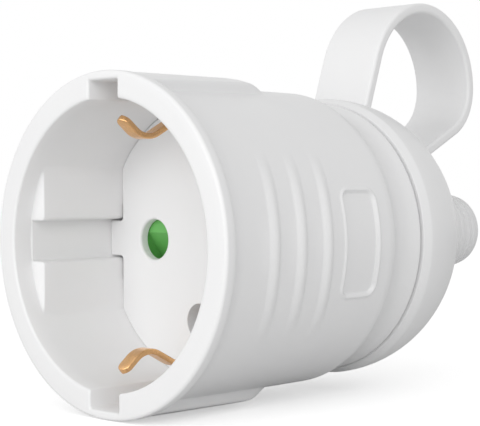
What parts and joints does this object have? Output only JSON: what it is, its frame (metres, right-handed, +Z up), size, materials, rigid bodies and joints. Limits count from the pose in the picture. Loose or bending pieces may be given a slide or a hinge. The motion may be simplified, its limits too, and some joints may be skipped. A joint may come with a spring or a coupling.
{
  "type": "rewirable coupler socket",
  "caption": "Round cable coupler socket with a deep recess, two shuttered contact holes, sprung earth clips, a stepped conical rear cap and a hanging loop",
  "frame": {"origin": "Middle of the footprint: on the part's centre line, half way along it, at the level of the lip's lowest point", "axes": "+Y from the mouth to the cord entry, along the round body; +Z up to the hanging loop; X through the two contact holes"},
  "size_m": [0.0462, 0.077, 0.0597],
  "materials": {
    "housing_plastic": "satin moulded white",
    "insert_plastic": "fine matt white",
    "shutter_plastic": "satin green",
    "carrier_plastic": "matt pale grey",
    "grommet_rubber": "soft matt white",
    "brass": "bright turned",
    "clip_bronze": "rolled spring strip",
    "steel": "zinc plated"
  },
  "bodies": {
    "housing": {"front_body": "housing_plastic", "rear_cap": "housing_plastic", "contact_insert": "insert_plastic", "shutter_cover": "carrier_plastic", "contact_carrier": "carrier_plastic", "cord_clamp": "carrier_plastic", "bend_grommet": "grommet_rubber", "contact_sleeve_left": "brass", "contact_sleeve_right": "brass", "earth_terminal": "brass", "cap_insert": "brass", "earth_bracket": "clip_bronze", "shutter_spring": "steel", "sleeve_spring_left": "steel", "sleeve_spring_right": "steel", "terminal_screws": "steel", "earth_terminal_screw": "steel", "joining_screw": "steel", "carrier_screws": "steel", "cord_clamp_screws": "steel", "cord_clamp_nuts": "steel"},
    "slide": {"shutter": "shutter_plastic"}
  },
  "joints": [
    {"name": "shutter_slide", "type": "slide", "parent": "housing", "child": "slide", "axis": [0, 0, 1], "range_m": [0, 0.0057], "stiffness_N_per_m": 120, "springref_m": -0.002, "deforming": ["shutter_spring"]}
  ]
}
